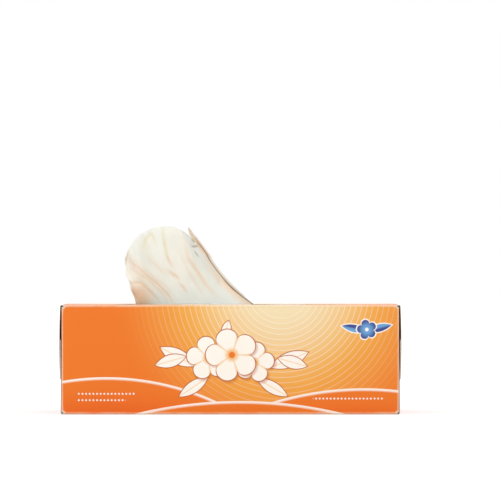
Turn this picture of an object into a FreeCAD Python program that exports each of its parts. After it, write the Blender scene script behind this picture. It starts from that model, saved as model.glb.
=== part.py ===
import FreeCAD, Part

import math
import os

import Sketcher

# A facial tissue box: one folded sheet of board, a window of film glued under its
# top opening, a stack of half-folded tissues, and the first tissue pulled up
# through the slit of the film. Millimetres, +Z up, the front panel towards -Y.
# The origin is the middle of the bottom panel's outer face.

# Driving dimensions: name in the sheet, value, what it is.
SIZES = (
    ("sheet_length", 210, "one tissue, along the box"),
    ("sheet_width", 197.5, "one tissue, across, before its fold"),
    ("stack_height", 58, "height of the stack of tissues"),
    ("leaf_pitch", 1.45, "height of one bundle of leaves in the stack's side"),
    ("leaf_groove", 0.35, "depth of the line between two bundles of leaves"),
    ("head_space", 10.1, "from the stack to the underside of the top panel"),
    ("end_clearance", 0.9, "from the stack to the innermost end flaps"),
    ("side_clearance", 3.2, "from the stack to the front and back panels"),
    ("board", 0.45, "thickness of the board"),
    ("fold_radius", 0.9, "outside radius of a fold in the board"),
    ("layer_gap", 0.1, "air between two flaps that lie on each other"),
    ("flap_relief", 0.35, "how far a flap's side stays clear of a fold"),
    ("flap_bow", 0.9, "how far the outer end flap bulges"),
    ("top_flap_reach", 47, "outer end flap, down from the top"),
    ("bottom_flap_reach", 47, "middle end flap, up from the bottom"),
    ("dust_flap_reach", 46, "innermost end flaps, in from front and back"),
    ("seam_reach", 14, "glued flap inside the back panel"),
    ("opening_length", 150, "torn-out opening of the top panel"),
    ("opening_width", 46, "the same, across"),
    ("film", 0.08, "thickness of the film window"),
    ("film_border", 12, "film glued to the board round the opening"),
    ("slit_length", 140, "cut along the middle of the film"),
    ("slit_gap", 0.4, "how far the cut gapes where nothing passes"),
    ("tissue", 0.25, "thickness of the two plies of a tissue"),
    ("foot_length", 74, "gathered tissue where it passes the film"),
    ("foot_right", 13.5, "right end of that gather, from the middle"),
    ("gather_depth", 1.9, "half its depth there"),
    ("gather_ripple", 0.3, "how far its folds swing there"),
    ("mouth_clearance", 0.45, "between the gather and the film's lips"),
    ("mouth_end_clearance", 2.0, "the same, at the two ends of the gather"),
    ("foot_spread", 1.6, "half depth added where the tissue meets the stack"),
    ("crown_radius", 25.7, "round outline of the raised tissue"),
    ("crown_left", 42, "centre of that outline, left of the middle"),
    ("crown_rise", 24, "centre of that outline, over the top panel"),
    ("belly", 9.5, "half depth added between the tissue's two walls"),
    ("swing", 2.6, "how far the long folds swing at the crown"),
    ("crease", 0.8, "height of the short folds at the crown"),
    ("edge_hollow", 3.6, "how far the free edge bends in from a straight line"),
    ("rear_edge_reach", 1.7, "how far the rear free edge stands past the front one"),
    ("tip_rise", 9.5, "height of the loose corner over the crown's end"),
    ("tip_lean", 5.0, "how far the loose corner leans left"),
)

# Counts and shares that are not lengths.
CROWN_START = math.radians(38)  # where the crown's arc starts, at the free edges
CROWN_END = math.radians(205)  # where it ends, at the bend on the left
POINTS_ROUND = 53  # points round the sheet, free edge to free edge
POINTS_UNDER = 3  # rows of them from the stack up to the film
POINTS_UP = 11  # rows of them from there to the crown
ROWS_CROWD = 1.5  # over 1 crowds the rows towards the film
BEND_TURN = 6 / (POINTS_ROUND - 1)  # part of the turn in the round bend at the left
BEND_SHARE = 0.025  # length of that bend, of one wall
BELLY_SPAN = 0.8  # part of a half wave that the walls swell over
PINCH = 0.55  # how far the free edges draw together
TIP_SHARE = 0.05  # width of the loose corner, of one wall
LONG_FOLDS = 2.1  # long folds in one wall
LONG_LEAN = 0.3  # how far they run across it, of one fold
LONG_START = math.radians(40)  # where the first one starts
SHORT_FOLDS = 4  # short folds in one wall
LEAST_SLANT = 0.3  # limits how far a point of a sharp crease is moved out

doc = FreeCAD.newDocument("tissue_box")
sheet = doc.addObject("Spreadsheet::Sheet", "sizes")
for row, (alias, value, meaning) in enumerate(SIZES, start=1):
    sheet.set("A%d" % row, meaning)
    sheet.set("B%d" % row, str(value))
    sheet.setAlias("B%d" % row, alias)
doc.recompute()


class Size:
    """A length worked out from the sheet: its value, and the expression that binds it."""

    def __init__(self, value, text):
        self.value = value
        self.text = text

    @staticmethod
    def of(other):
        return other if isinstance(other, Size) else Size(other, repr(other))

    def __add__(self, other):
        other = Size.of(other)
        return Size(self.value + other.value, "(%s + %s)" % (self.text, other.text))

    def __sub__(self, other):
        other = Size.of(other)
        return Size(self.value - other.value, "(%s - %s)" % (self.text, other.text))

    def __mul__(self, other):
        other = Size.of(other)
        return Size(self.value * other.value, "(%s * %s)" % (self.text, other.text))

    def __truediv__(self, other):
        other = Size.of(other)
        return Size(self.value / other.value, "(%s / %s)" % (self.text, other.text))

    def __neg__(self):
        return Size(-self.value, "(-%s)" % self.text)

    __radd__ = __add__
    __rmul__ = __mul__


def size(alias):
    return Size(float(sheet.get(alias)), "sizes." + alias)


def bind(target, name, length):
    """Ties one property of an object to the sheet."""
    target.setExpression(name, length.text)


board = size("board")
fold = size("fold_radius")
layer = board + size("layer_gap")
inside_half = size("sheet_length") / 2 + size("end_clearance")
dust_face = inside_half + board
low_face = dust_face + layer
top_face = low_face + layer
half_depth = size("sheet_width") / 4 + size("side_clearance") + board
stack_top = board + size("stack_height")
top_under = stack_top + size("head_space")
height = top_under + board
flap_half = half_depth - fold - size("flap_relief")
half_tissue = size("tissue") / 2


def new_body(label):
    body = doc.addObject("PartDesign::Body", label)
    body.Label = label
    return body


def new_sketch(body, name, role, lift=None):
    """A sketch on one of the body's own origin planes, lifted along its normal."""
    plane = [f for f in body.Origin.OriginFeatures if f.Role == role][0]
    sketch = body.newObject("Sketcher::SketchObject", name)
    sketch.AttachmentSupport = [(plane, "")]
    sketch.MapMode = "FlatFace"
    if lift is not None:
        bind(sketch, "AttachmentOffset.Base.z", lift)
    return sketch


def constrain(sketch, kind, places, length):
    number = sketch.addConstraint(Sketcher.Constraint(kind, *places, length.value))
    sketch.setExpression("Constraints[%d]" % number, length.text)


def arc_centre(start, end, rule, given, turn):
    """Centre of an arc from start to end that turns left (1) or right (-1)."""
    x0, y0, x1, y1 = start[0], start[1], end[0], end[1]
    if rule == "centre_x":
        square = (x1 - given) ** 2 - (x0 - given) ** 2 + y1**2 - y0**2
        return given, square / (2 * (y1 - y0))
    chord = math.hypot(x1 - x0, y1 - y0)
    off = math.sqrt(given**2 - chord**2 / 4) * turn
    middle = ((x0 + x1) / 2, (y0 + y1) / 2)
    return middle[0] - off * (y1 - y0) / chord, middle[1] + off * (x1 - x0) / chord


def outline(sketch, corners, arcs=None):
    """One closed outline. arcs maps a side's number to its rule, size and turn."""
    arcs = arcs or {}
    first = sketch.GeometryCount
    count = len(corners)
    places = [(x.value, y.value) for x, y in corners]
    ends = []
    for side in range(count):
        start, end = places[side], places[(side + 1) % count]
        if side not in arcs:
            line = Part.LineSegment(FreeCAD.Vector(*start, 0), FreeCAD.Vector(*end, 0))
            sketch.addGeometry(line)
            ends.append((1, 2))
            continue
        rule, given, turn = arcs[side]
        centre = arc_centre(start, end, rule, given.value, turn)
        radius = math.hypot(start[0] - centre[0], start[1] - centre[1])
        angles = [math.atan2(y - centre[1], x - centre[0]) for x, y in (start, end)]
        circle = Part.Circle(FreeCAD.Vector(*centre, 0), FreeCAD.Vector(0, 0, 1), radius)
        sketch.addGeometry(Part.ArcOfCircle(circle, *angles[::turn]))
        ends.append((1, 2) if turn > 0 else (2, 1))
    for side in range(count):
        after = (side + 1) % count
        joined = (first + side, ends[side][1], first + after, ends[after][0])
        sketch.addConstraint(Sketcher.Constraint("Coincident", *joined))
    for side, (x, y) in enumerate(corners):
        constrain(sketch, "DistanceX", (-1, 1, first + side, ends[side][0]), x)
        constrain(sketch, "DistanceY", (-1, 1, first + side, ends[side][0]), y)
    for side, (rule, given, _) in arcs.items():
        if rule == "centre_x":
            constrain(sketch, "DistanceX", (-1, 1, first + side, 3), given)
        else:
            constrain(sketch, "Radius", (first + side,), given)


def pad(body, name, sketch, length, symmetric=True):
    feature = body.newObject("PartDesign::Pad", name)
    feature.Profile = sketch
    feature.SideType = "Symmetric" if symmetric else "One side"
    bind(feature, "Length", length)
    return feature


def pocket(body, name, sketch, length):
    """Cuts downwards from the sketch's plane, against its normal."""
    feature = body.newObject("PartDesign::Pocket", name)
    feature.Profile = sketch
    feature.Type = "Length"
    bind(feature, "Length", length)
    return feature


def rectangle(sketch, left, low, right, high):
    outline(sketch, [(left, low), (right, low), (right, high), (left, high)])


def draw_wrap(sketch):
    """Front, top, back and bottom in section, with the glued flap inside the back."""
    inner = fold - board
    seam_face = half_depth - board
    seam_top = board + size("seam_reach")
    zero = board - board
    outer = [
        (fold - half_depth, zero),
        (seam_face - fold, zero),
        (seam_face, fold),
        (half_depth, fold),
        (half_depth, height - fold),
        (half_depth - fold, height),
        (fold - half_depth, height),
        (-half_depth, height - fold),
        (-half_depth, fold),
    ]
    outline(
        sketch,
        outer,
        {
            1: ("radius", fold, 1),
            4: ("radius", fold, 1),
            6: ("radius", fold, 1),
            8: ("radius", fold, 1),
        },
    )
    hollow = [
        (fold - half_depth, board),
        (seam_face - fold, board),
        (seam_face - board, fold),
        (seam_face - board, seam_top),
        (seam_face, seam_top),
        (seam_face, height - fold),
        (half_depth - fold, top_under),
        (fold - half_depth, top_under),
        (board - half_depth, height - fold),
        (board - half_depth, fold),
    ]
    outline(
        sketch,
        hollow,
        {
            1: ("radius", inner, 1),
            5: ("radius", inner, 1),
            7: ("radius", inner, 1),
            9: ("radius", inner, 1),
        },
    )


def draw_strap(sketch, face, panel, reach, way, bow=None):
    """A panel with a flap folded down at each end: a staple in section.

    face is the flaps' outer face along X, panel the panel's outer face along the
    sketch's Y, and way is 1 where the flaps point up from the panel, -1 down.
    """
    inner = fold - board
    bend = panel + fold * way
    tip = panel + reach * way
    under = panel + board * way
    corners = [
        (-face, tip),
        (-face, bend),
        (fold - face, panel),
        (face - fold, panel),
        (face, bend),
        (face, tip),
        (face - board, tip),
        (face - board, bend),
        (face - fold, under),
        (fold - face, under),
        (board - face, bend),
        (board - face, tip),
    ]
    arcs = {
        1: ("radius", fold, way),
        3: ("radius", fold, way),
        7: ("radius", inner, -way),
        9: ("radius", inner, -way),
    }
    if bow is not None:
        chord = reach - fold
        curve = (chord * chord / 4 + bow * bow) / (bow * 2)
        arcs[0] = ("radius", curve, way)
        arcs[4] = ("radius", curve, way)
        arcs[6] = ("radius", curve, -way)
        arcs[10] = ("radius", curve, -way)
    outline(sketch, corners, arcs)


def draw_slot(sketch, left, right, half_width):
    """A slot with round ends, along X."""
    corners = [
        (left + half_width, -half_width),
        (right - half_width, -half_width),
        (right - half_width, half_width),
        (left + half_width, half_width),
    ]
    arcs = {
        1: ("centre_x", right - half_width, 1),
        3: ("centre_x", left + half_width, 1),
    }
    outline(sketch, corners, arcs)


def make_carton():
    """One sheet of board, folded round and closed at the ends with glued flaps."""
    body = new_body("carton")
    wrap = new_sketch(body, "wrap_section", "YZ_Plane")
    draw_wrap(wrap)
    pad(body, "wrap", wrap, (dust_face - fold) * 2)

    top = new_sketch(body, "top_strap_section", "XZ_Plane")
    draw_strap(top, top_face, height, size("top_flap_reach"), -1, size("flap_bow"))
    pad(body, "top_strap", top, flap_half * 2)

    low = new_sketch(body, "bottom_strap_section", "XZ_Plane")
    draw_strap(low, low_face, board - board, size("bottom_flap_reach"), 1)
    pad(body, "bottom_strap", low, flap_half * 2)

    dust_low = fold + size("flap_relief")
    dust_height = height - dust_low * 2
    for name, panel, way in (("front", -half_depth, 1), ("back", half_depth, -1)):
        sketch = new_sketch(body, name + "_strap_section", "XY_Plane", dust_low)
        draw_strap(sketch, dust_face, panel, size("dust_flap_reach"), way)
        pad(body, name + "_strap", sketch, dust_height, symmetric=False)

    opening = new_sketch(body, "opening_outline", "XY_Plane", height)
    half_opening = size("opening_length") / 2
    draw_slot(opening, -half_opening, half_opening, size("opening_width") / 2)
    pocket(body, "opening", opening, board * 2)
    return body


def make_film():
    """A rectangle of clear film under the top panel, with a slit and its open mouth."""
    body = new_body("film_window")
    half_length = size("opening_length") / 2 + size("film_border")
    half_width = size("opening_width") / 2 + size("film_border")
    plate = new_sketch(body, "film_outline", "XY_Plane", top_under - size("film"))
    rectangle(plate, -half_length, -half_width, half_length, half_width)
    pad(body, "film_plate", plate, size("film"), symmetric=False)

    slit = new_sketch(body, "slit_outline", "XY_Plane", top_under)
    half_slit = size("slit_length") / 2
    half_gap = size("slit_gap") / 2
    rectangle(slit, -half_slit, -half_gap, half_slit, half_gap)
    pocket(body, "slit", slit, size("film") * 2)

    mouth = new_sketch(body, "mouth_outline", "XY_Plane", top_under)
    mouth_half = size("gather_depth") + size("gather_ripple") + half_tissue
    mouth_half = mouth_half + size("mouth_clearance")
    end_clearance = size("mouth_end_clearance")
    mouth_right = size("foot_right") + size("rear_edge_reach") + end_clearance
    mouth_left = size("foot_right") - size("foot_length") - end_clearance
    draw_slot(mouth, mouth_left, mouth_right, mouth_half)
    pocket(body, "mouth", mouth, size("film") * 2)
    return body


def make_stack():
    """The folded tissues as one block, with lines between bundles on its long sides."""
    body = new_body("tissue_stack")
    half_length = size("sheet_length") / 2
    half_width = size("sheet_width") / 4
    block = new_sketch(body, "stack_outline", "XY_Plane", board)
    rectangle(block, -half_length, -half_width, half_length, half_width)
    pad(body, "stack_block", block, size("stack_height"), symmetric=False)

    lines = new_sketch(body, "leaf_line_section", "YZ_Plane")
    groove = size("leaf_groove")
    middle = board + size("leaf_pitch")
    for way in (1, -1):
        side = half_width * way
        outline(
            lines,
            [
                (side + groove * way, middle - groove),
                (side - groove * way, middle),
                (side + groove * way, middle + groove),
            ],
        )
    cut = body.newObject("PartDesign::Pocket", "leaf_line")
    cut.Profile = lines
    cut.Type = "Length"
    cut.SideType = "Symmetric"
    bind(cut, "Length", size("sheet_length") * 2)
    doc.recompute()

    bundles = int(size("stack_height").value / size("leaf_pitch").value)
    pattern = body.newObject("PartDesign::LinearPattern", "leaf_lines")
    pattern.Originals = [cut]
    axis = [f for f in body.Origin.OriginFeatures if f.Role == "Z_Axis"][0]
    pattern.Direction = (axis, [""])
    pattern.Occurrences = bundles - 1
    bind(pattern, "Length", size("leaf_pitch") * (bundles - 2))
    body.Tip = pattern
    return body


def tissue_point(turn, rise):
    """A point of the raised tissue's middle surface.

    turn goes from -1, the front wall's free edge at the right, through 0, the round
    bend at the left, to 1, the rear wall's free edge. rise goes from 0, level with
    the top panel, to 1, the tissue's upper edge.
    """
    bend = min(abs(turn) / BEND_TURN, 1) * math.pi / 2
    wall = max(abs(turn) - BEND_TURN, 0) / (1 - BEND_TURN)
    share = (1 - BEND_SHARE) * (1 - wall) + BEND_SHARE * math.cos(bend)
    near_edge = max(0.0, 1 - share / TIP_SHARE) if turn > 0 else 0.0
    foot_right = size("foot_right").value
    base_x = foot_right - size("foot_length").value * share
    angle = CROWN_START + (CROWN_END - CROWN_START) * share
    radius = size("crown_radius").value
    crown_x = -size("crown_left").value + radius * math.cos(angle)
    crown_z = size("crown_rise").value + radius * math.sin(angle)
    base_x += size("rear_edge_reach").value * near_edge
    crown_x -= size("tip_lean").value * near_edge
    crown_z += size("tip_rise").value * near_edge
    hollow = size("edge_hollow").value * (1 - share)
    knee_x = (base_x + crown_x) / 2 - hollow * 2
    knee_z = crown_z / 2 - hollow / 2
    x = base_x * (1 - rise) ** 2 + knee_x * 2 * rise * (1 - rise) + crown_x * rise**2
    z = knee_z * 2 * rise * (1 - rise) + crown_z * rise**2

    depth = size("gather_depth").value
    fullness = math.sin(math.pi * BELLY_SPAN * rise) * share * (2 - share)
    depth += size("belly").value * fullness
    across = math.copysign(math.sin(bend) * (1 - PINCH * turn**2), turn)
    swing = size("gather_ripple").value + size("swing").value * rise
    long_turn = 2 * math.pi * (LONG_FOLDS * share + LONG_LEAN * rise)
    long_fold = swing * math.sin(long_turn + LONG_START)
    short_fold = size("crease").value * rise * math.sin(2 * math.pi * SHORT_FOLDS * share)
    return FreeCAD.Vector(x, depth * across + long_fold + short_fold, z + height.value)


def foot_point(turn, share):
    """The same under the film, where the walls spread a little down to the stack."""
    point = tissue_point(turn, 0.0)
    point.y += size("foot_spread").value * share * math.sin(turn * math.pi / 2)
    point.z = top_under.value - size("head_space").value * share
    return point


def tissue_row(row, turn):
    """The first rows go from the stack up to the film, the others on to the crown."""
    if row < POINTS_UNDER:
        return foot_point(turn, 1 - row / (POINTS_UNDER - 1))
    rise = ((row - POINTS_UNDER) / (POINTS_UP - 1)) ** ROWS_CROWD
    return tissue_point(turn, rise)


def facing(grid, row, column):
    """The direction that one cell of the grid faces."""
    rising = grid[row + 1][column + 1] - grid[row][column]
    falling = grid[row][column + 1] - grid[row + 1][column]
    return falling.cross(rising).normalize()


def tissue_side(middle, offset):
    """One face of the sheet, off its middle surface, and as thick over its creases."""
    rows, columns = len(middle), len(middle[0])
    cells = [[facing(middle, r, c) for c in range(columns - 1)] for r in range(rows - 1)]
    side = []
    for row in range(rows):
        line = []
        for column in range(columns):
            near = [cells[r] for r in (row - 1, row) if 0 <= r < rows - 1]
            faces = [cell[c] for cell in near for c in (column - 1, column) if 0 <= c < columns - 1]
            outward = sum(faces, FreeCAD.Vector())
            if row == 0:
                outward.z = 0
            outward.normalize()
            slant = min(face.dot(outward) for face in faces)
            line.append(middle[row][column] + outward * (offset / max(slant, LEAST_SLANT)))
        side.append(line)
    return side


def make_tissue():
    """The raised tissue: one thin sheet of flat facets, gathered in the slit.

    Its two free edges are at the right, and its upper edge is open.
    """
    rows, columns = range(POINTS_UNDER + POINTS_UP), range(POINTS_ROUND)
    turns = [-1 + 2 * column / (POINTS_ROUND - 1) for column in columns]
    middle = [[tissue_row(row, turn) for turn in turns] for row in rows]
    faces = [tissue_side(middle, offset.value) for offset in (half_tissue, -half_tissue)]
    points = [point for face in faces for line in face for point in line]

    def number(face, row, column):
        return (face * len(rows) + row) * POINTS_ROUND + column

    quads = []
    for row in rows[:-1]:
        for column in columns[:-1]:
            start, far = (row, column), (row + 1, column + 1)
            across, up = (row, column + 1), (row + 1, column)
            quads.append([number(0, *corner) for corner in (start, across, far, up)])
            quads.append([number(1, *corner) for corner in (start, up, far, across)])
    border = [(rows[0], column) for column in columns]
    border += [(row, columns[-1]) for row in rows[1:]]
    border += [(rows[-1], column) for column in reversed(columns[:-1])]
    border += [(row, columns[0]) for row in reversed(rows[1:-1])]
    for here, after in zip(border, border[1:] + border[:1]):
        quads.append([number(0, *after), number(0, *here), number(1, *here), number(1, *after)])
    facets = [three for a, b, c, d in quads for three in ((a, b, c), (a, c, d))]
    shell = Part.Shape()
    shell.makeShapeFromMesh((points, facets), size("tissue").value / 1000)
    solid = Part.makeSolid(shell)
    if solid.Volume < 0:
        solid.reverse()
    feature = doc.addObject("Part::Feature", "raised_tissue")
    feature.Label = "raised_tissue"
    feature.Shape = solid
    feature.Placement = FreeCAD.Placement()
    return feature


def main():
    parts = [make_carton(), make_film(), make_stack(), make_tissue()]
    doc.recompute()
    for item in doc.Objects:
        if "Invalid" in item.State or "Error" in item.State:
            raise RuntimeError("%s failed: %s" % (item.Name, item.State))
    for part in parts:
        shape = part.Shape
        if shape.isNull() or not shape.isValid() or not shape.Solids:
            raise RuntimeError("%s has no valid solid" % part.Label)
    os.makedirs("parts", exist_ok=True)
    for part in parts:
        part.Shape.exportStep(os.path.join("parts", part.Label + ".step"))
        box = part.Shape.BoundBox
        print(part.Label, len(part.Shape.Solids), "volume %.1f" % part.Shape.Volume)
        print("  x %.2f %.2f" % (box.XMin, box.XMax), "y %.2f %.2f" % (box.YMin, box.YMax))
        print("  z %.2f %.2f" % (box.ZMin, box.ZMax))


main()
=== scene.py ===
import math
import random

import bmesh
import bpy
from bpy.props import FloatProperty, FloatVectorProperty, IntProperty, PointerProperty
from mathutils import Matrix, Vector, noise


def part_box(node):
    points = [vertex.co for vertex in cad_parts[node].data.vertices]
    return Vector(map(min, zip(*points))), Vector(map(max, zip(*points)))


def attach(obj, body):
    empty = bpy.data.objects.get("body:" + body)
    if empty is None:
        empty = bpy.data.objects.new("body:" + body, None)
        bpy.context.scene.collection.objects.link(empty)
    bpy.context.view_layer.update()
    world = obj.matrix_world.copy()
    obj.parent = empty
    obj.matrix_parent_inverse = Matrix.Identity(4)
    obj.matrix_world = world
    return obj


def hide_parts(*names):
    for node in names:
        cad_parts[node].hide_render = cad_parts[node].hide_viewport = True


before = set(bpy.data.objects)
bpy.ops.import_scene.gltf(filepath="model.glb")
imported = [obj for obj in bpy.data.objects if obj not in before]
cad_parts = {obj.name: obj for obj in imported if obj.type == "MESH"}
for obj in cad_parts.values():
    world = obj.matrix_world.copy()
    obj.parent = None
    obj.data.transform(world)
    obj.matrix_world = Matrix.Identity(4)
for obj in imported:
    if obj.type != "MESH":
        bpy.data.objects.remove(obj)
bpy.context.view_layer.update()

bl_info = {
    "name": "Tissue Box",
    "version": (1, 0, 0),
    "blender": (4, 5, 0),
    "location": "3D View > Sidebar > Tissue Box",
    "description": "A printed carton, its film window, its stack and the tissue pulled up",
    "category": "Add Mesh",
}

# Metres, +Z up, the front panel towards -Y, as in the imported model.
MM = 0.001
BODY = "root"
CARTON_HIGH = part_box("carton")[1]
STACK_LOW, STACK_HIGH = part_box("tissue_stack")
FILM_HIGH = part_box("film_window")[1]
RAISED_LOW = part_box("raised_tissue")[0]
HEIGHT = CARTON_HIGH.z
HALF_DEPTH = CARTON_HIGH.y
RIGHT = Vector((1, 0, 0))
UP = Vector((0, 0, 1))
TINY = 1e-6


def distance(name, millimetres, meaning):
    """A property for one length, given in millimetres."""
    return FloatProperty(
        name=name, description=meaning, default=millimetres * MM, precision=5, unit="LENGTH"
    )


def power(name, watts, meaning):
    """A property for the power of one lamp."""
    return FloatProperty(name=name, description=meaning, default=watts, unit="POWER")


def linear(red, green, blue):
    """A screen colour from 0 to 255 as linear light."""
    scaled = [channel / 255 for channel in (red, green, blue)]
    return tuple(c / 12.92 if c < 0.04045 else ((c + 0.055) / 1.055) ** 2.4 for c in scaled)


def colour(name, red, green, blue):
    """A property for one colour, given as a screen colour."""
    return FloatVectorProperty(
        name=name,
        description=name + ", a colour of the print or material",
        default=linear(red, green, blue),
        subtype="COLOR",
        min=0,
        max=1,
    )


class CartonSettings(bpy.types.PropertyGroup):
    board: distance("Board", 0.45, "Thickness of the board")
    fold: distance("Fold", 0.9, "Outside radius of a fold")
    gap: distance("Gap", 0.1, "Air between two flaps that lie on each other")
    relief: distance("Relief", 0.35, "How far a flap's side stays clear of a fold")
    bow: distance("Bow", 0.55, "How far the outer end flap bulges")
    low_reach: distance("Bottom flap", 47, "End flap of the bottom panel")
    top_reach: distance("Top flap", 47, "End flap of the top panel")
    side_reach: distance("Side flap", 46, "End flaps of the front and back panels")
    seam_reach: distance("Seam flap", 14, "Glued flap inside the back panel")
    inside_half: distance("Inside half", 105.9, "From the middle to the inner end flap")
    opening_length: distance("Opening length", 150, "Torn-out opening of the top panel")
    opening_width: distance("Opening width", 46, "The same, across")
    score: distance("Score", 0.95, "From a fold to the dent that its crease leaves")
    bulge: distance("Bulge", 0.45, "How far the front and back panels swell")
    cell: distance("Cell", 3.5, "Size of the faces of the panels")
    tall_dent: distance("Tall dent", 0.14, "Depth of a crease's dent in the front and back panels")
    flat_dent: distance("Flat dent", 0.12, "The same in the top and bottom panels")
    dent_width: distance("Dent width", 0.6, "Half width of a crease's dent")
    waves: distance("Waves", 0.5, "Height of a panel's slow waves")
    low_waves: distance("Bottom waves", 0.3, "The same in the bottom panel")
    nick: distance("Nick", 0.09, "How ragged the opening's torn edge is")
    wear: distance("Wear", 2.2, "How far wear reaches from a fold")
    tip_wear: distance("Tip wear", 1.5, "The same from an end flap's cut edge")


class PrintSettings(bpy.types.PropertyGroup):
    deep: colour("Deep orange", 232, 100, 12)
    orange: colour("Orange", 234, 117, 20)
    amber: colour("Amber", 240, 176, 72)
    cream: colour("Cream", 242, 222, 178)
    white: colour("White", 252, 247, 236)
    line: colour("Line", 182, 84, 14)
    blue: colour("Blue", 14, 66, 140)
    sky: colour("Pale blue", 96, 164, 216)
    raw: colour("Bare board", 206, 198, 184)
    pulp: colour("Darker board", 188, 178, 162)
    fleck: colour("Flecks of the board", 132, 118, 100)


class FilmSettings(bpy.types.PropertyGroup):
    thickness: distance("Thickness", 0.08, "Thickness of the film")
    slit_length: distance("Slit", 140, "Cut along the middle of the film")
    slit_gap: distance("Slit gap", 0.4, "How far the cut gapes where nothing passes")
    lip: distance("Lip", 1.1, "How far the film turns up round the tissue")
    wrinkle: distance("Wrinkle", 0.22, "Height of the folds that spread from the tissue")
    mouth: distance("Mouth", 0.55, "Air between the gather and the slit's edge")
    mouth_end: distance("Mouth end", 8, "How far the slit gapes past the gather")
    lip_reach: distance("Lip reach", 1.5, "How far from its edge a lip turns up")
    lip_inside: distance("Lip inside", 6, "From the gather's end to where a lip starts to sink")
    lip_past: distance("Lip past", 5, "From the gather's end to where it lies flat")
    loose_half: distance("Loose half", 22, "Half width of the film that isn't glued")
    sink: distance("Sink", 0.01, "Air between the film and the top panel")


class StackSettings(bpy.types.PropertyGroup):
    pitch: distance("Bundle", 1.45, "Height of one bundle of leaves")
    groove: distance("Groove", 0.35, "Depth of the line between two bundles")
    swell: distance("Swell", 0.7, "Soft waves of the top leaf")
    leaf: distance("Leaf", 0.3, "Height of the upper leaf's edge along the middle")
    edge: distance("Edge", 3, "From the middle to the upper leaf's edge")
    wander: distance("Wander", 1.2, "How far the upper leaf's edge wanders")
    pull: distance("Pull", 1.6, "How far the gather lifts the top leaf")
    pull_width: distance("Pull width", 9, "Half width of that lift")
    pull_end: distance("Pull end", 14, "How far it reaches past the gather")
    sink: distance("Sink", 0.5, "How far the top leaf stays under the packed block")
    shoulder: distance("Shoulder", 6, "Level border of the top leaf at each side")
    side_inset: distance("Side inset", 0.2, "How far the sides stay inside the block")
    end_inset: distance("End inset", 0.3, "The same for the ends")
    uneven: distance("Uneven", 0.25, "How unevenly the bundles end")
    across: IntProperty(name="Across", description="Faces across the top leaf", default=46)
    along: IntProperty(name="Along", description="Faces along the stack", default=96)
    shaded: colour("Shaded paper", 245, 242, 235)
    pale: colour("Pale paper", 252, 251, 247)


class TissueSettings(bpy.types.PropertyGroup):
    thickness: distance("Thickness", 0.2, "Thickness of the two plies")
    foot_length: distance("Foot length", 74, "The gather where it passes the film")
    foot_right: distance("Foot right", 13.5, "Right end of that gather")
    gather: distance("Gather", 1.9, "Half its depth there")
    ripple: distance("Ripple", 0.3, "How far its folds swing there")
    spread: distance("Spread", 4.6, "Half depth added where it meets the stack")
    crown_radius: distance("Crown radius", 25.7, "Round outline of the raised tissue")
    crown_left: distance("Crown left", 42, "Centre of that outline, left of the box's middle")
    crown_rise: distance("Crown rise", 24, "Centre of that outline, over the top panel")
    belly: distance("Belly", 9.5, "Half depth added between the two walls")
    swing: distance("Swing", 2.6, "How far the long folds swing at the crown")
    crease: distance("Crease", 0.8, "Height of the short folds at the crown")
    hollow: distance("Hollow", 3.6, "How far the free edge bends in")
    rear_reach: distance("Rear edge", 1.7, "How far the rear edge stands past the front one")
    droop: distance("Droop", 4.4, "How far the outline sinks at its free end")
    strip: distance("Strip", 2.6, "How far the rear edge stands past it higher up")
    flare: distance("Flare", 1.0, "The same, added at the loose corner's foot")
    gape: distance("Gape", 1.2, "Half depth added at the crown")
    tip_rise: distance("Tip rise", 9, "Height of the loose corner over the crown's end")
    tip_lean: distance("Tip lean", 5.4, "How far the loose corner leans left")
    tip_width: distance("Tip width", 1.3, "Width of the loose corner's end")
    tip_swell: distance("Tip swell", 2.6, "How far its left edge bends out below that")
    ivory: colour("Ivory", 245, 249, 242)
    white: colour("White", 252, 255, 249)
    # Painted shade and light: beige and straw paint the folds' shade, peach paints orange light
    # reflected from the box at the foot, and gap paints the shade in the gaps and pleats.
    fold_shade_beige: colour("Beige of the folds", 242, 217, 190)
    crown_shade_straw: colour("Straw of the folds at the crown", 242, 235, 204)
    peach_reflection: colour("Peach at the foot", 255, 216, 180)
    gap: colour("Shade in the gaps", 108, 72, 30)
    through: colour("Light through the sheet", 246, 240, 228)
    columns: IntProperty(name="Columns", description="Faces round the sheet", default=260)
    rows: IntProperty(name="Rows", description="Faces up the sheet", default=96)


class StageSettings(bpy.types.PropertyGroup):
    key: power("Key", 5, "Power of the main lamp")
    fill: power("Fill", 9, "Power of the side lamp")
    low: power("Low", 12.4, "Power of the low lamp")
    rear: power("Rear", 4, "Power of the rear lamp")
    sky: FloatProperty(name="Sky", description="Strength of the light all round", default=0.93)
    view_distance: distance("Distance", 3500, "From the camera to the front panel")
    view_width: distance("Width", 315, "What the picture's width takes in at the front panel")
    view_across: distance("Across", 12.4, "Middle of the picture, from the box's middle")
    view_height: distance("Height", 103.6, "Middle of the picture, from the floor")
    floor: distance("Floor", 9000, "From the middle of the floor to its sides")


class TissueBoxSettings(bpy.types.PropertyGroup):
    carton: PointerProperty(type=CartonSettings)
    artwork: PointerProperty(type=PrintSettings)
    film: PointerProperty(type=FilmSettings)
    stack: PointerProperty(type=StackSettings)
    tissue: PointerProperty(type=TissueSettings)
    stage: PointerProperty(type=StageSettings)


def settings():
    """The sizes and colours that the sidebar lists."""
    return bpy.context.scene.tissue_box


# Meshes


def smoothly(value, low, high):
    """0 below low, 1 above high, and a soft step between them."""
    part = min(max((value - low) / (high - low), 0.0), 1.0)
    return part * part * (3 - 2 * part)


def fading(value, low, high):
    """1 below low, 0 above high, and a soft step between them."""
    return 1 - smoothly(value, low, high)


def bell(value, width):
    """1 where value is 0, and less the further it is from that."""
    return math.exp(-((value / width) ** 2))


def noise_at(*spot):
    """Soft noise from -1 to 1."""
    return noise.noise(Vector(spot))


def steps(start, end, count):
    """Evenly spaced numbers from start to end, with count spaces between them."""
    return [start + (end - start) * number / count for number in range(count + 1)]


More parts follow.
